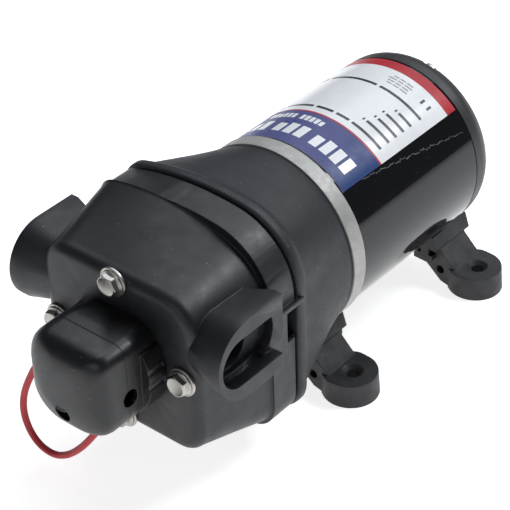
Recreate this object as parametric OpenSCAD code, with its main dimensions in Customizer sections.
// Self-priming four-chamber diaphragm pump with a 12 V brush motor and a pressure switch.
// Millimetres. +Z is up, the motor shaft lies along Y, the pump end faces -Y.
// The origin is on the mounting surface, at the centre of the four foot holes.
// Most parts are drawn in the shaft's own frame: X across, Y up, Z forward from the
// joint between the motor can and its front bell, so "forward" is towards the switch.

/* [Motor] */
// Outside diameter of the motor can
motor_d = 80; // [79:0.5:81]
// Length of the motor can
can_l = 78; // [78:1:84]
// Wall thickness of the motor can
can_wall = 2; // [1.6:0.1:2.2]
// Diameter of the motor shaft
shaft_d = 8; // [7:0.5:8]
// Depth of the rear end cap
cap_l = 14; // [14:1:16]
// Width of the light ring that the front bell shows
bell_l = 7; // [6.5:0.5:7.5]
// Angle of the two through bolts round the shaft, from the right
bolt_angle = 77; // [70:1:84]

/* [Stance] */
// Height of the shaft above the mounting surface
axis_h = 62; // [62:1:68]
// Distance between the foot holes across the pump
hole_dx = 77; // [76:0.5:79]
// Distance between the foot holes along the pump
hole_dy = 90; // [86:1:92]
// Diameter of the foot holes
hole_d = 5.5; // [4.5:0.5:6]
// Width of each rubber foot's leg
foot_w = 18.4; // [17:0.2:19]

/* [Drive and pump head] */
// Tilt of the wobble plate
wobble_tilt = 5; // [3:0.5:5]
// Distance of each piston from the shaft axis, on both axes
piston_off = 15.5; // [15.3:0.1:15.7]
// Radius of the pistons
piston_r = 9.5; // [8.5:0.5:9.5]
// Distance of the four head screws from the shaft axis
screw_ring = 31.1; // [30.9:0.1:31.3]
// Diameter of the head screws
screw_d = 5; // [4:0.5:5]
// Depth of the pump head, from the diaphragm to its front face
head_l = 50.3; // [50:0.1:51]

/* [Ports] */
// Distance of each port's end face from the middle
port_x = 52; // [51:0.5:53]
// Height of the ports above the shaft
port_z = 13.4; // [13.2:0.1:13.6]
// Bore of the port sockets
port_d = 19; // [18:0.5:19.5]

/* [Pressure switch] */
// Width of the switch
switch_w = 38; // [38:0.5:39]
// Height of the switch
switch_h = 38.5; // [38:0.5:39]
// Travel of the switch plunger
plunger_travel = 1; // [0.6:0.1:1.2]
// Diameter of the red lead
lead_d = 2.8; // [2.4:0.1:3]

/* [Hidden] */
$fn = 64;

// Places along the shaft, forward from the joint of can and bell
seat_y = hole_dy / 2 - 5;
cap_f = -can_l;
rear_f = -can_l - cap_l;
flange_f = bell_l + 33;
split_f = flange_f + 5;
dia_t = 1.5;
head_f = split_f + dia_t;
step_f = head_f + 13;
face_f = head_f + head_l;
motor_r = motor_d / 2;
shaft_r = shaft_d / 2;

// Outlines across the shaft: left, right, bottom, top, and the corner radii from the
// upper right round to the lower right. A crown gives the middle and radius of a top edge.
flange_box = [-43, 43.2, -46.5, 44.5];
flange_r = [30, 10, 14, 14];
flange_crown = [-1, 130];
taper_box = [-41.8, 41.5, -44.4, 43.3];
taper_r = [28.5, 10, 12.5, 12.5];
taper_crown = [-12, 100];
face_box = [-38, 37.6, -35.6, 34.4];
face_r = [17, 12, 11, 11];
edge_r = 4.5;

// Bearings: radius of the outer ring, width
bearing_r = 11;
bearing_w = 7;
cam_bearing_r = 17.5;
cam_bearing_w = 10;
cam_pin_r = 8.5;
tilt_f = split_f - 3;

// Wobble plate frame: distances along its tilted axis
pad_top = 3;
dia_top = pad_top + dia_t;
piston_top = dia_top + 3;

// Valve plate
plate_box = [-35.5, 35.5, -35.5, 35.5];
plate_r = [20, 20, 20, 20];
plate_l = 11.5;
chamber_r = 12.5;
chamber_l = 8;
inlet_off = 19.5;
outlet_off = 6.2;
outlet_r = 11;
column_r = 7;
tube_r = 16;
manifold_l = 18.5;

// Ports, forward places
port_f = face_f - 11.8;
port_end_f = head_f + 18.7;
rim_r = 17;
neck_r = 12.6;
clip_top = 10;
rim_slot_r = 10.3;
rim_slot_f = port_f + 3.2;
pocket_r = 12.4;
pocket_l = 4.5;
pocket_span = 7;

// Pressure switch places
sw_mid = -0.25;
sw_split_f = face_f + 16;
sw_front_f = face_f + 32;
sw_wall = 2.2;
press_z = -10.2;
disc_f = face_f + 1.6;
button_f = face_f + 12;
micro_f = button_f + 1.2;
seat_f = face_f + 14.2;
bridge_f = face_f + 19.2;

// Foot profile, across and up from the shaft axis
rail_x = 18.5;
base_half = 24.8;
base_bottom = -43.5;
leg_top = -43.8;
pad_z = -51.6;
pad_end_x = hole_dx / 2 - 1;
pad_end_r = 12;
base_front_f = 19;
base_rear_f = -98;

// Shaft frame: X across, Y up, Z forward
module on_shaft(f = 0)
    translate([0, -seat_y - f, axis_h])
        rotate([90, 0, 0])
            children();

// Tilted frame of the wobble plate, centred where its axis crosses the shaft
module tilted()
    on_shaft(tilt_f)
        rotate([wobble_tilt, 0, 0])
            children();

module at(x, y, z)
    translate([x, y, z])
        children();

// Solid of revolution between two radii and two places along Z
module ring(r_in, r_out, z0, z1)
    difference() {
        at(0, 0, z0) cylinder(r = r_out, h = z1 - z0);
        at(0, 0, z0 - 1) cylinder(r = r_in, h = z1 - z0 + 2);
    }

module rod(r, z0, z1)
    at(0, 0, z0)
        cylinder(r = r, h = z1 - z0);

// Block from its lowest to its highest corner
module block(low, high)
    translate(low)
        cube(high - low);

// Rod along X on one side, from x0 out to x1
module side_rod(side, r, up, f, x0, x1)
    at(side * (side > 0 ? x0 : x1), up, f)
        rotate([0, 90, 0])
            cylinder(r = r, h = x1 - x0);

// The four places on a square, and the four on a diamond
module on_square(off)
    for (sx = [-1, 1], sy = [-1, 1])
        translate([sx * off, sy * off, 0])
            children();

module on_diamond(off)
    for (a = [0, 90, 180, 270])
        rotate([0, 0, a])
            translate([off, 0, 0])
                children();

function inset(box, d) = [box[0] + d, box[1] - d, box[2] + d, box[3] - d];
function less(radii, d) = [for (r = radii) r - d];
function corner_centres(box, r) = [
    [box[1] - r[0], box[3] - r[0]],
    [box[0] + r[1], box[3] - r[1]],
    [box[0] + r[2], box[2] + r[2]],
    [box[1] - r[3], box[2] + r[3]]];

// Rectangle with its own radius at each corner
module outline(box, r) {
    c = corner_centres(box, r);
    polygon([[c[0].x, box[3]], [c[1].x, box[3]], [box[0], c[1].y], [box[0], c[2].y],
        [c[2].x, box[2]], [c[3].x, box[2]], [box[1], c[3].y], [box[1], c[0].y]]);
    for (i = [0:3])
        translate(c[i])
            circle(r[i]);
}

// The same with a crowned top edge, drawn d inside the full outline
function arc(c, r, a0, a1, n) = [for (i = [0:n])
    c + r * [cos(a0 + (a1 - a0) * i / n), sin(a0 + (a1 - a0) * i / n)]];
function under_crown(x, r, mid, top, crown) =
    [x, top - crown + sqrt(pow(crown - r, 2) - pow(x - mid, 2))];

module crowned(box, r, crown, d, z0, z1) {
    mid = [crown[0], box[3] - crown[1]];
    right = under_crown(box[1] - r[0], r[0], crown[0], box[3], crown[1]);
    left = under_crown(box[0] + r[1], r[1], crown[0], box[3], crown[1]);
    a0 = atan2(right.y - mid.y, right.x - mid.x);
    a1 = atan2(left.y - mid.y, left.x - mid.x);
    c = corner_centres(box, r);
    top = arc(mid, crown[1] - d, a0, a1, 20);
    at(0, 0, z0)
        linear_extrude(z1 - z0)
            polygon(concat(
                arc(c[3], r[3] - d, 270, 360, 12),
                arc(right, r[0] - d, 0, a0, 24),
                [for (i = [1:19]) top[i]],
                arc(left, r[1] - d, a1, 180, 10),
                arc(c[2], r[2] - d, 180, 270, 12)));
}

module flange(d, z0, z1)
    crowned(flange_box, flange_r, flange_crown, d, z0, z1);

module plate(box, r, z0, z1)
    at(0, 0, z0)
        linear_extrude(z1 - z0)
            outline(box, r);

// Hexagon across its flats
module hex(flats, z0, z1)
    at(0, 0, z0)
        cylinder(d = flats / cos(30), h = z1 - z0, $fn = 6);

// Tube swept along a list of points, with flat ends
function unit(v) = v / norm(v);
function heading(p, i) = unit(p[min(i + 1, len(p) - 1)] - p[max(i - 1, 0)]);
function tube_ring(p, i, r, sides, side_axis) =
    let (t = heading(p, i), u = unit(cross(side_axis, t)), v = cross(t, u))
        [for (k = [0:sides - 1]) p[i] + r * (cos(360 * k / sides) * u + sin(360 * k / sides) * v)];

module tube(p, r, sides, side_axis) {
    n = len(p);
    points = [for (i = [0:n - 1]) each tube_ring(p, i, r, sides, side_axis)];
    walls = [for (i = [0:n - 2], k = [0:sides - 1]) let (j = (k + 1) % sides)
        each [[i * sides + k, (i + 1) * sides + k, i * sides + j],
            [i * sides + j, (i + 1) * sides + k, (i + 1) * sides + j]]];
    first = [for (k = [0:sides - 1]) k];
    last = [for (k = [sides - 1:-1:0]) (n - 1) * sides + k];
    polyhedron(points, concat(walls, [first, last]), convexity = 6);
}

// Coil spring along Z
module coil(r, wire_r, length, turns) {
    steps = 12 * turns;
    rise = length - 2 * wire_r;
    tube([for (i = [0:steps]) [r * cos(30 * i), r * sin(30 * i), wire_r + rise * i / steps]],
        wire_r, 6, [0, 0, 1]);
}

// ---- Motor ----

module motor_can()
    color("#0c0c0e")
        on_shaft()
            ring(motor_r - can_wall, motor_r, cap_f, 0);

module front_bell()
    color("#b9bab6")
        on_shaft()
            difference() {
                union() {
                    rod(motor_r + 0.8, 0, bell_l);
                    ring(34, motor_r - can_wall - 0.1, -4, 0.5);
                    rod(15, -4, bell_l + 1.5);
                }
                rod(7, -5, bell_l + 2);
                rod(bearing_r, -5, bearing_w - 4);
                through_bolt_places() rod(2, -5, 5);
                rotate([0, 0, 45]) on_diamond(28) rod(2, 2, bell_l + 1);
                base_screw_places() rod(2, 35, 50);
            }

module end_cap()
    color("#3d3e40")
        on_shaft()
            difference() {
                union() {
                    rotate_extrude() cap_profile();
                    rod(motor_r - can_wall - 0.1, cap_f - 1, cap_f + 4);
                }
                difference() {
                    rod(36.9, rear_f + 4, cap_f + 5);
                    rod(14, rear_f + 4, rear_f + 4 + bearing_w);
                    rotate([0, 0, 45]) on_diamond(30) rod(3, rear_f + 4, cap_f + 1.4);
                    through_bolt_places() rod(7, rear_f + 3, cap_f + 1.4);
                }
                rod(bearing_r, rear_f + 4, cap_f - 1);
                through_bolt_places() rod(2.2, rear_f + 2, cap_f + 2);
                through_bolt_places() rod(5.2, rear_f - 1, rear_f + 6);
                base_screw_places() rod(2, 35, 50);
            }

module cap_profile() {
    fillet = 10;
    square_from([0, rear_f], [motor_r - fillet, cap_f]);
    square_from([0, rear_f + fillet], [motor_r, cap_f - 0.6]);
    square_from([0, cap_f - 1], [motor_r - 0.6, cap_f]);
    intersection() {
        translate([motor_r - fillet, rear_f + fillet]) circle(fillet);
        square_from([motor_r - fillet - 1, rear_f], [motor_r, rear_f + fillet + 1]);
    }
}

module square_from(low, high)
    translate(low)
        square(high - low);

module through_bolt_places()
    for (a = [bolt_angle, bolt_angle + 180])
        rotate([0, 0, a])
            translate([34.5, 0, 0])
                children();

module magnets()
    color("#2f3033")
        on_shaft()
            for (a = [bolt_angle - 152, bolt_angle + 28])
                rotate([0, 0, a])
                    at(0, 0, cap_f + 15)
                        rotate_extrude(angle = 124)
                            square_from([31, 0], [motor_r - can_wall - 0.1, can_l - 24]);

module through_bolts()
    color("#c8c9c8")
        on_shaft()
            through_bolt_places() {
                rod(2, rear_f + 6, 4.5);
                rod(3.6, rear_f + 3, rear_f + 6);
            }

module label()
    color("#f1f3f6")
        on_shaft()
            rotate([0, 0, 44.5])
                at(0, 0, cap_f + 1)
                    rotate_extrude(angle = 160)
                        square_from([motor_r, 0], [motor_r + 0.2, can_l - 2.5]);

module bearing(f)
    color("#a9abac")
        on_shaft()
            difference() {
                ring(shaft_r + 0.05, bearing_r - 0.02, f, f + bearing_w);
                ring(shaft_r + 1.6, bearing_r - 1.6, f - 1, f + 0.6);
                ring(shaft_r + 1.6, bearing_r - 1.6, f + bearing_w - 0.6, f + bearing_w + 1);
            }

module rear_bearing() bearing(rear_f + 4);
module front_bearing() bearing(-4);

// ---- Rotor ----

module motor_shaft()
    color("#b4b6b8")
        on_shaft()
            rod(shaft_r, rear_f + 4.4, tilt_f - 17);

module armature_core()
    color("#6f7275")
        on_shaft()
            difference() {
                ring(shaft_r, 29.5, cap_f + 20, -14);
                for (i = [0:11])
                    rotate([0, 0, 30 * i]) {
                        block([17, -2.6, cap_f + 19], [27, 2.6, -13]);
                        block([26, -0.9, cap_f + 19], [30, 0.9, -13]);
                    }
            }

module windings()
    color("#b3602c")
        on_shaft() {
            winding_end(cap_f + 14.5, cap_f + 20);
            winding_end(-14, -8.5);
            for (i = [0:11])
                rotate([0, 0, 30 * i])
                    block([17.3, -2.3, cap_f + 19.5], [26.5, 2.3, -13.5]);
        }

module winding_end(z0, z1)
    rotate_extrude()
        difference() {
            union() {
                square_from([10, z0 + 1.5], [27, z1 - 1.5]);
                square_from([11.5, z0], [25.5, z1]);
                for (r = [11.5, 25.5], z = [z0 + 1.5, z1 - 1.5])
                    translate([r, z]) circle(1.5);
            }
        }

module commutator()
    color("#c07a45")
        on_shaft()
            difference() {
                ring(shaft_r, 12, cap_f + 4, cap_f + 13.5);
                for (i = [0:11])
                    rotate([0, 0, 30 * i + 15])
                        block([11, -0.4, cap_f + 3], [13, 0.4, cap_f + 14]);
            }

// ---- Brush gear ----

brush_f = cap_f + 8.6;

module brush_card()
    color("#7a5a36")
        on_shaft()
            difference() {
                ring(16, 36.7, cap_f + 1.4, cap_f + 3);
                through_bolt_places() rod(3, cap_f, cap_f + 4);
            }

module brush_holders()
    color("#c9a24a")
        on_shaft()
            for (side = [0, 180])
                rotate([0, 0, side])
                    difference() {
                        block([14.5, -4, cap_f + 3], [31, 4, brush_f + 5.4]);
                        block([14, -2.6, brush_f - 4.1], [30, 2.6, brush_f + 4.1]);
                    }

module brush(side)
    color("#26272a")
        on_shaft()
            rotate([0, 0, side])
                block([12.3, -2.5, brush_f - 4], [24, 2.5, brush_f + 4]);

module brush_spring(side)
    color("#9b9d9e")
        on_shaft()
            rotate([0, 0, side])
                at(24.1, 0, brush_f)
                    rotate([0, 90, 0])
                        coil(1.9, 0.3, 5.8, 5);

module brush_left() brush(180);
module brush_right() brush(0);
module brush_spring_left() brush_spring(180);
module brush_spring_right() brush_spring(0);

// ---- Wobble drive ----

pin_end = -16.3;
pin_start = pin_end - cam_bearing_w;

module cam()
    color("#8d8f92")
        difference() {
            union() {
                tilted() rod(cam_pin_r, pin_start, pin_end);
                tilted() rod(11, pin_start - 2, pin_start);
                on_shaft() rod(9.5, bell_l + 3, tilt_f + pin_start - 1.5);
            }
            on_shaft() rod(shaft_r, bell_l + 2, tilt_f - 17);
            on_shaft(bell_l + 5.5) rotate([-90, 0, 0]) rod(2, 0, 12);
        }

module cam_set_screw()
    color("#2b2c2e")
        on_shaft(bell_l + 5.5)
            rotate([-90, 0, 0])
                difference() {
                    rod(1.98, shaft_r, 9);
                    hex(2, 7, 10);
                }

module cam_bearing()
    color("#a9abac")
        tilted()
            difference() {
                ring(cam_pin_r + 0.06, cam_bearing_r - 0.02, pin_start + 0.2, pin_end + 0.2);
                ring(cam_pin_r + 2, cam_bearing_r - 2, pin_start - 1, pin_start + 1);
                ring(cam_pin_r + 2, cam_bearing_r - 2, pin_end - 0.6, pin_end + 1);
            }

module wobble_plate()
    color("#d9d7cf")
        tilted()
            difference() {
                union() {
                    rod(20.5, pin_start - 0.4, pin_end + 5);
                    rod(22, pin_end + 1.5, pin_end + 5);
                    on_square(piston_off) rod(10, pin_end + 3, pad_top - 0.05);
                }
                rod(cam_bearing_r, pin_start - 1, pin_end + 0.25);
                on_square(piston_off) rod(1.5, pad_top - 11, pad_top + 1);
            }

module pistons()
    color("#cfcdc6")
        tilted()
            on_square(piston_off)
                difference() {
                    rod(piston_r, dia_top + 0.05, piston_top);
                    rod(1.7, dia_top - 1, piston_top + 1);
                    at(0, 0, piston_top - 1.6) cylinder(r1 = 1.7, r2 = 3.4, h = 1.7);
                }

module piston_screws()
    color("#c3c5c6")
        tilted()
            on_square(piston_off)
                difference() {
                    union() {
                        rod(1.45, pad_top - 10, piston_top - 1.4);
                        at(0, 0, piston_top - 1.6) cylinder(r1 = 1.6, r2 = 3.2, h = 1.6);
                    }
                    block([-2.4, -0.4, piston_top - 0.7], [2.4, 0.4, piston_top + 1]);
                    block([-0.4, -2.4, piston_top - 0.7], [0.4, 2.4, piston_top + 1]);
                }

module diaphragm()
    color("#16171a")
        difference() {
            union() {
                on_shaft()
                    difference() {
                        flange(2.3, split_f, head_f);
                        on_square(piston_off) rod(chamber_r - 0.2, split_f - 1, head_f + 1);
                        for (side = [-1, 1])
                            clip_slot(side);
                    }
                for (sx = [-1, 1], sy = [-1, 1])
                    hull() {
                        on_shaft() at(sx * piston_off, sy * piston_off, split_f)
                            cylinder(r = chamber_r - 0.1, h = dia_t, $fn = 32);
                        tilted() at(sx * piston_off, sy * piston_off, pad_top)
                            cylinder(r = piston_r + 1, h = dia_t, $fn = 32);
                    }
            }
            on_shaft() on_diamond(screw_ring) rod(screw_d / 2 + 0.3, split_f - 1, head_f + 1);
            tilted()
                on_square(piston_off) {
                    rod(1.8, pad_top - 3, dia_top + 3);
                    rod(piston_r + 0.3, dia_top, dia_top + 10);
                    rod(10.3, pad_top - 8, pad_top);
                }
        }

// ---- Housings ----

module drive_housing()
    color("#3b3c3f")
        on_shaft()
            difference() {
                union() {
                    housing_taper(0);
                    flange(0, flange_f, split_f);
                }
                difference() {
                    rod(36, bell_l + 3, split_f + 1);
                    on_diamond(screw_ring) rod(5.5, split_f - 16, split_f + 2);
                }
                rod(15.2, bell_l - 1, bell_l + 4);
                on_diamond(screw_ring) rod(screw_d / 2, split_f - 17, split_f + 1);
                rotate([0, 0, 45]) on_diamond(28) rod(2.1, bell_l - 1, bell_l + 4);
            }

// Body of the housing from the round bell to the square flange, grown all round by d
module housing_taper(d)
    hull() {
        at(0, 0, bell_l) cylinder(r = motor_r + 0.4 + d, h = 1);
        flange(2.4 - d, flange_f, flange_f + 1);
    }

module housing_screws()
    color("#c3c5c6")
        on_shaft()
            rotate([0, 0, 45])
                on_diamond(28)
                    difference() {
                        union() {
                            rod(1.98, 3, bell_l + 3);
                            rod(3.4, bell_l + 3, bell_l + 5.8);
                        }
                        hex(3, bell_l + 4, bell_l + 7);
                    }

module valve_plate()
    color("#5a5c60")
        on_shaft()
            difference() {
                plate(plate_box, plate_r, head_f, head_f + plate_l);
                on_square(piston_off) rod(chamber_r, head_f - 1, head_f + chamber_l);
                on_square(inlet_off) {
                    rod(1.3, head_f, head_f + plate_l + 1);
                    on_diamond(2.8) rod(1, head_f, head_f + plate_l + 1);
                }
                on_square(outlet_off) rod(1.5, head_f + 2, head_f + plate_l + 1);
                rod(1.8, head_f + 4, head_f + plate_l + 1);
                ring(13.6, 15.4, head_f + plate_l - 1, head_f + plate_l + 1);
                on_diamond(screw_ring) rod(screw_d / 2 + 0.3, head_f - 1, head_f + plate_l + 1);
            }

module inlet_valves()
    color("#1c1d20")
        on_shaft(head_f)
            on_square(inlet_off) {
                rod(4.4, chamber_l - 1, chamber_l);
                rod(1.25, chamber_l - 0.5, plate_l + 0.1);
                rod(1.9, plate_l + 0.05, plate_l + 1.3);
            }

module outlet_valve()
    color("#1c1d20")
        on_shaft(head_f)
            difference() {
                union() {
                    rod(10, plate_l + 0.05, plate_l + 1.5);
                    rod(1.75, 5, plate_l + 0.1);
                }
                for (a = [0, 90])
                    rotate([0, 0, a])
                        block([-11, -0.5, plate_l], [-4, 0.5, plate_l + 2]);
            }

module outlet_seal()
    color("#101113")
        on_shaft(head_f)
            ring(13.7, 15.3, plate_l - 1, plate_l);

module pump_head()
    color("#333437")
        on_shaft()
            difference() {
                union() {
                    flange(0.8, head_f, step_f);
                    head_taper();
                    for (side = [-1, 1]) {
                        port_boss(side);
                        slot_floor(side);
                    }
                }
                plate(inset(plate_box, -0.3), less(plate_r, -0.3), head_f - 1, head_f + plate_l);
                // Inlet manifold round the outlet column
                difference() {
                    rod(33, head_f + plate_l - 0.01, head_f + manifold_l);
                    rod(tube_r, head_f, head_f + manifold_l + 1);
                    on_diamond(screw_ring) rod(5.5, head_f, head_f + manifold_l + 1);
                }
                rod(outlet_r, head_f + plate_l - 0.01, head_f + plate_l + 5);
                rod(column_r, head_f + plate_l, face_f - 6.8);
                for (side = [-1, 1])
                    port_socket(side);
                block([-6, 0, port_f - 6], [6, port_z, port_f + 4]);
                side_rod(1, 7, port_z, port_f, 0, 18);
                at(-25, port_z, head_f + manifold_l - 3)
                    cylinder(r = 6, h = port_f - head_f - manifold_l + 3);
                at(0, press_z + 4.2, face_f - 8) cylinder(r = 1.6, h = 9);
                on_diamond(screw_ring) rod(screw_d / 2 + 0.25, head_f - 1, face_f + 1);
                on_diamond(screw_ring) rod(6.6, face_f, face_f + 8);
                switch_screw_places() rod(1.5, face_f - 4.4, face_f + 1);
            }

// Body of the head from the step to the rounded front face
module head_taper() {
    c = corner_centres(face_box, face_r);
    hull() {
        crowned(taper_box, taper_r, taper_crown, 0, step_f - 0.5, step_f);
        for (i = [0:3])
            at(c[i].x, c[i].y, face_f - edge_r)
                rotate_extrude($fn = 32)
                    translate([face_r[i] - edge_r, 0])
                        circle(edge_r, $fn = 24);
    }
}

// Boss flared from a neck on the head to the rim of the port
module port_boss(side)
    hull() {
        boss_end(side, rim_r, port_end_f, port_x - 3.5, port_x);
        boss_end(side, neck_r, port_end_f + 3, 33, 33.5);
    }

module boss_end(side, r, f, x0, x1) {
    side_rod(side, r, port_z, port_f - 1, x0, x1);
    block([side > 0 ? x0 : -x1, port_z - r, f], [side > 0 ? x1 : -x0, port_z + r, port_f - 1]);
}

// Floor of the socket's slot carried back to the step, and a tab over the clip slot
module slot_floor(side) {
    block([side > 0 ? 38 : 5 - port_x, port_z - rim_slot_r, step_f - 0.7],
        [side > 0 ? port_x - 5 : -38, port_z + rim_slot_r, port_end_f + 2]);
    block([side > 0 ? 40 : -44.4, clip_top, head_f], [side > 0 ? 44.4 : -40, clip_top + 2, step_f]);
    block([side > 0 ? 43.5 : -44.4, clip_top, flange_f + 3],
        [side > 0 ? 44.4 : -43.5, clip_top + 2, head_f + 1]);
}

// Slot for a retaining clip, behind the port and across the edge of the diaphragm
module clip_slot(side)
    block([side > 0 ? 38 : -60, -6, split_f], [side > 0 ? 60 : -38, clip_top, head_f + 4.3]);

module port_socket(side) {
    floor_x = port_x - 5;
    pocket_x = floor_x - pocket_l;
    // Slot in the end face, open to the rear
    side_rod(side, rim_slot_r, port_z, rim_slot_f, floor_x, port_x + 1);
    block([side > 0 ? floor_x : -port_x - 1, port_z - rim_slot_r, port_end_f - 1],
        [side > 0 ? port_x + 1 : -floor_x, port_z + rim_slot_r, rim_slot_f]);
    // Wider pocket under the rim
    side_rod(side, pocket_r, port_z, port_f - 1, pocket_x, floor_x + 0.01);
    side_rod(side, pocket_r, port_z, port_f - 1 - pocket_span, pocket_x, floor_x + 0.01);
    block([side > 0 ? pocket_x : -floor_x, port_z - pocket_r, port_f - 1 - pocket_span],
        [side > 0 ? floor_x : -pocket_x, port_z + pocket_r, port_f - 1]);
    // Socket bore
    side_rod(side, port_d / 2, port_z, port_f, 17, pocket_x + 0.01);
    clip_slot(side);
}

module head_screws()
    color("#d2cfc8")
        on_shaft()
            on_diamond(screw_ring) {
                rod(screw_d / 2 - 0.02, split_f - 15, face_f + 1.3);
                rod(5.2, face_f + 1.2, face_f + 2.2);
                hex(8, face_f + 2.1, face_f + 4.7);
            }

module head_washers()
    color("#c9c6bf")
        on_shaft()
            on_diamond(screw_ring)
                ring(screw_d / 2 + 0.1, 6, face_f, face_f + 1.2);

// ---- Pressure switch ----

switch_box = [-switch_w / 2, switch_w / 2, sw_mid - switch_h / 2, sw_mid + switch_h / 2];
switch_r = [5.5, 9, 11.5, 10];
switch_in_r = [14, 11, 9.3, 9.3];

// Front of the cover: how far each section stands inside the outline, and behind the front
cover_dome = [[0.25, 7], [0.6, 5.8], [1.2, 4.6], [2.2, 3.3], [3.6, 2.1], [5.6, 1.1], [8, 0.4], [10.5, 0]];
function dome_radii(d) = [for (r = switch_r) min(r + 0.35 * d, switch_w / 2 - d - 0.3)];

module switch_screw_places()
    for (sx = [-1, 1]) {
        translate([sx * 10.4, 10.4, 0]) children();
        translate([sx * 12.9, -12.1, 0]) children();
    }

// Openings for leads on both sides and below, across the joint of base and cover
module lead_notches() {
    at(-30, -4, sw_split_f - 0.8) rotate([0, 90, 0]) cylinder(r = 3.6, h = 60);
    block([1, -40, sw_split_f - 3.5], [8, -15, sw_split_f + 2.5]);
}

module switch_base()
    color("#2d2e30")
        on_shaft()
            difference() {
                union() {
                    difference() {
                        union() {
                            hull() {
                                plate(inset(switch_box, 0.4), [8, 11, 12, 12], face_f, face_f + 0.5);
                                plate(switch_box, switch_r, sw_split_f - 5, sw_split_f);
                            }
                            intersection() {
                                rod(23.4, face_f, face_f + 9);
                                block([-30, -16, face_f - 1], [30, 12, face_f + 10]);
                            }
                        }
                        plate(inset(switch_box, sw_wall), switch_in_r, face_f + 3.2, sw_split_f + 1);
                    }
                    for (side = [-1, 1]) {
                        post_x = side > 0 ? 8.4 : -10.2;
                        block([post_x, press_z - 4.2, face_f + 3],
                            [post_x + 1.8, press_z + 4.2, bridge_f + 2.5]);
                        block([side * 10.5 - 1.5, 2.5, face_f + 3],
                            [side * 10.5 + 1.5, 7.5, micro_f]);
                    }
                    block([-10.2, press_z - 4.2, bridge_f], [10.2, press_z + 4.2, bridge_f + 2.5]);
                }
                at(0, press_z, face_f - 1) cylinder(r = 8.2, h = 2.5);
                at(0, press_z, face_f) cylinder(r = 7.4, h = 4);
                at(0, press_z, bridge_f - 1) cylinder(r = 2.05, h = 5);
                block([-3.4, press_z, disc_f - 0.1], [3.4, 9.8, face_f + 4]);
                switch_screw_places() rod(1.6, face_f - 1, face_f + 4);
                for (side = [-1, 1], y = [-9, -2, 5])
                    at(side * 24.6, y, face_f + 1.5) cylinder(r = 2.2, h = 9);
                lead_notches();
            }

module switch_cover()
    color("#2f3032")
        on_shaft()
            difference() {
                hull() {
                    plate(switch_box, switch_r, sw_split_f + 0.05, sw_front_f - 9);
                    for (p = cover_dome)
                        plate(inset(switch_box, p[0]), dome_radii(p[0]),
                            sw_front_f - p[1] - 0.1, sw_front_f - p[1]);
                }
                plate(inset(switch_box, sw_wall), [14, 11, 11, 11], sw_split_f - 1, sw_front_f - 7);
                plate(inset(switch_box, 6.5), [8, 8, 8, 8], sw_split_f, sw_front_f - 2.6);
                at(0, press_z, sw_front_f - 8) cylinder(r = 3.6, h = 10);
                lead_notches();
            }

module switch_screws()
    color("#c3c5c6")
        on_shaft()
            switch_screw_places()
                difference() {
                    union() {
                        rod(1.48, face_f - 4, face_f + 3.3);
                        rod(2.4, face_f + 3.2, face_f + 5.2);
                    }
                    block([-2, -0.35, face_f + 4.3], [2, 0.35, face_f + 6]);
                    block([-0.35, -2, face_f + 4.3], [0.35, 2, face_f + 6]);
                }

module pressure_diaphragm()
    color("#17181a")
        on_shaft(face_f)
            at(0, press_z, 0.02)
                cylinder(r = 8.1, h = 1.45);

module plunger()
    color("#d8d5cc")
        on_shaft() {
            at(0, press_z, disc_f) cylinder(r = 7.1, h = 2.3);
            at(0, press_z, disc_f + 2.2) cylinder(r = 2.2, h = 3);
            block([-3, press_z + 5, disc_f], [3, 9.4, disc_f + 2.3]);
            block([-3, 5, disc_f + 2.2], [3, 9.4, button_f - 0.05]);
        }

module plunger_spring()
    color("#a5a7a8")
        on_shaft()
            at(0, press_z, disc_f + 2.32)
                coil(3.4, 0.5, seat_f - disc_f - 2.34, 6);

module spring_seat()
    color("#c9a24a")
        on_shaft()
            difference() {
                block([-8.2, press_z - 4, seat_f], [8.2, press_z + 4, seat_f + 2.5]);
                at(0, press_z, seat_f - 1) cylinder(r = 2, h = 5);
            }

module adjust_screw()
    color("#b9bbbc")
        on_shaft()
            at(0, press_z, 0)
                difference() {
                    union() {
                        rod(1.95, seat_f - 1.5, bridge_f + 2.7);
                        rod(3, bridge_f - 1.1, bridge_f - 0.1);
                        rod(3.2, bridge_f + 2.6, bridge_f + 5.4);
                    }
                    hex(2.5, bridge_f + 3.6, bridge_f + 6);
                }

module microswitch()
    color("#7c2f2a")
        on_shaft()
            difference() {
                block([-12, 2, micro_f], [12, 11.5, micro_f + 11]);
                block([-1.8, 5.1, micro_f - 1], [1.8, 8.9, micro_f + 4.4]);
                for (x = [-8, 8])
                    at(x, 0, micro_f + 8.5) rotate([-90, 0, 0]) cylinder(r = 1.5, h = 13);
            }

module switch_button()
    color("#e4e2da")
        on_shaft()
            block([-1.7, 5.2, button_f], [1.7, 8.8, micro_f + 3]);

module switch_terminals()
    color("#c9a24a")
        on_shaft()
            for (x = [-6, 6])
                difference() {
                    block([x - 2.4, 6.3, micro_f + 11], [x + 2.4, 7.1, micro_f + 14.2]);
                    at(x, 5, micro_f + 12.8) rotate([-90, 0, 0]) cylinder(r = 0.8, h = 4);
                }

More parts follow.
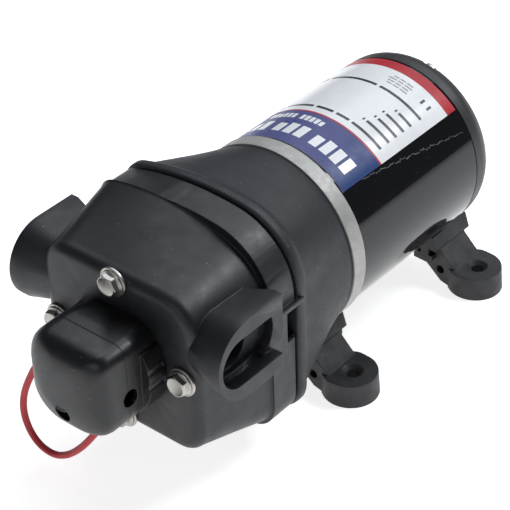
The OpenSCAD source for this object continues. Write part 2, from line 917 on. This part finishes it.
// Red lead: a short loop from the left notch round and up into the lower notch.
// Points are across, up from the shaft, and forward from the head's front face.
lead_route = [
    [-15, -4, 15.4], [-18, -4, 15.5], [-21, -4.6, 15.6], [-24, -6.4, 15.9], [-27, -9.4, 16.3],
    [-29.6, -13.4, 16.7], [-32, -18, 17], [-34.4, -23, 17.2], [-36.6, -28.4, 17.3],
    [-38.1, -34, 17.3], [-38.7, -39.6, 17.2], [-38, -44.8, 17.1], [-36, -49.4, 17],
    [-32.8, -52.8, 16.9], [-28.6, -54.4, 16.8], [-24, -54.2, 16.7], [-19.2, -52, 16.6],
    [-14.6, -48.4, 16.5], [-10.2, -43.8, 16.4], [-6.2, -38.8, 16.2], [-2.4, -33.4, 16],
    [1, -28.2, 15.8], [3.4, -23.4, 15.6], [4.6, -20, 15.5], [4.9, -15.2, 15.4]];

module lead_wire()
    color("#b5222c")
        on_shaft(face_f)
            tube(lead_route, lead_d / 2, 8, [0, 0, 1]);

// ---- Base and feet ----

// Half of the bracket's profile from bottom to top, with a groove along its shoulder
function bracket_side(side, order) =
    let (p = [[base_half, base_bottom], [base_half - 2.2, -37], [base_half - 3.2, -36.7],
        [base_half - 2.7, -36.1], [20, -32]])
        [for (i = order) [side * p[i].x, p[i].y]];

// Saddle bracket under one end of the pump, with a T-shaped rail over each foot
module bracket(f0, f1)
    on_shaft()
        difference() {
            union() {
                at(0, 0, f0)
                    linear_extrude(f1 - f0)
                        polygon(concat(bracket_side(-1, [0:4]), bracket_side(1, [4:-1:0])));
                for (side = [-1, 1]) {
                    block([side * rail_x - 2, base_bottom - 3.3, f0],
                        [side * rail_x + 2, base_bottom + 0.5, f1]);
                    block([side * rail_x - 4, base_bottom - 5.8, f0],
                        [side * rail_x + 4, base_bottom - 3.3, f1]);
                }
            }
            rod(motor_r + 0.05, f0 - 1, min(f1 + 1, 0.01));
            // Relief between the two rails, under the screw
            block([-12, base_bottom - 1, f0 - 1], [12, base_bottom + 0.8, f1 + 1]);
            base_screw_places() rod(2.1, 30, 50);
        }

module base_screw_places()
    for (f = [bell_l / 2, base_rear_f + 16])
        at(0, 0, f)
            rotate([90, 0, 0])
                children();

module front_bracket()
    color("#2b2c2e")
        difference() {
            bracket(base_front_f - 28, base_front_f);
            on_shaft() rod(motor_r + 1.1, 0, bell_l + 1);
            on_shaft() housing_taper(0.4);
        }

module rear_bracket()
    color("#2b2c2e")
        bracket(base_rear_f, base_rear_f + 25);

module base_screws()
    color("#b9bbbc")
        on_shaft()
            base_screw_places()
                difference() {
                    union() {
                        rod(1.98, motor_r - 3.5, 42.8);
                        rod(3.5, 42.7, 45);
                    }
                    hex(2.5, 43.6, 46);
                }

// Rubber foot: a slanted leg that grips a rail, and a pad with a screw hole
module foot(side, y) {
    half = foot_w / 2;
    bottom = -axis_h;
    color("#242527")
        translate([0, y, axis_h])
            scale_x(side)
                difference() {
                    union() {
                        at(0, half, 0)
                            rotate([90, 0, 0])
                                linear_extrude(foot_w)
                                    polygon([[11, leg_top], [24.6, leg_top], [25.4, leg_top - 0.5],
                                        [32.8, pad_z], [34, pad_z - 1.5], [34, bottom],
                                        [32, bottom], [29, bottom + 1.2], [25.6, bottom + 2],
                                        [18, -53.4], [11, -53]]);
                        at(0, 0, bottom) linear_extrude(pad_z - bottom) pad_outline(half);
                    }
                    // Countersunk screw hole
                    at(hole_dx / 2, 0, bottom - 1) cylinder(d = hole_d, h = 20);
                    at(hole_dx / 2, 0, pad_z - 1.8) cylinder(d1 = hole_d, d2 = 9.5, h = 1.81);
                    // Slot round the rail
                    block([rail_x - 2.1, -15, base_bottom - 3.3], [rail_x + 2.1, 15, leg_top + 1]);
                    block([rail_x - 4.1, -15, base_bottom - 5.9], [rail_x + 4.1, 15, base_bottom - 3.2]);
                    at(25.2, 15, -54) rotate([90, 0, 0]) cylinder(r = 2, h = 30);
                }
}

module pad_outline(half) {
    reach = pad_end_x - 3.2;
    polygon([[29.5, -half], [reach, 0.6 - pad_end_r], [pad_end_x, 1 - pad_end_r],
        [pad_end_x, pad_end_r - 1], [reach, pad_end_r - 0.6], [29.5, half]]);
    translate([pad_end_x, 0])
        circle(pad_end_r);
}

module scale_x(side)
    mirror([side < 0 ? 1 : 0, 0, 0])
        children();

module foot_front_left() foot(-1, -hole_dy / 2);
module foot_front_right() foot(1, -hole_dy / 2);
module foot_rear_left() foot(-1, hole_dy / 2);
module foot_rear_right() foot(1, hole_dy / 2);

motor_can();
front_bell();
end_cap();
magnets();
through_bolts();
label();
rear_bearing();
front_bearing();
motor_shaft();
armature_core();
windings();
commutator();
brush_card();
brush_holders();
brush_left();
brush_right();
brush_spring_left();
brush_spring_right();
cam();
cam_set_screw();
cam_bearing();
wobble_plate();
pistons();
piston_screws();
diaphragm();
drive_housing();
housing_screws();
valve_plate();
inlet_valves();
outlet_valve();
outlet_seal();
pump_head();
head_screws();
head_washers();
switch_base();
switch_cover();
switch_screws();
pressure_diaphragm();
plunger();
plunger_spring();
spring_seat();
adjust_screw();
microswitch();
switch_button();
switch_terminals();
lead_wire();
front_bracket();
rear_bracket();
base_screws();
foot_front_left();
foot_front_right();
foot_rear_left();
foot_rear_right();
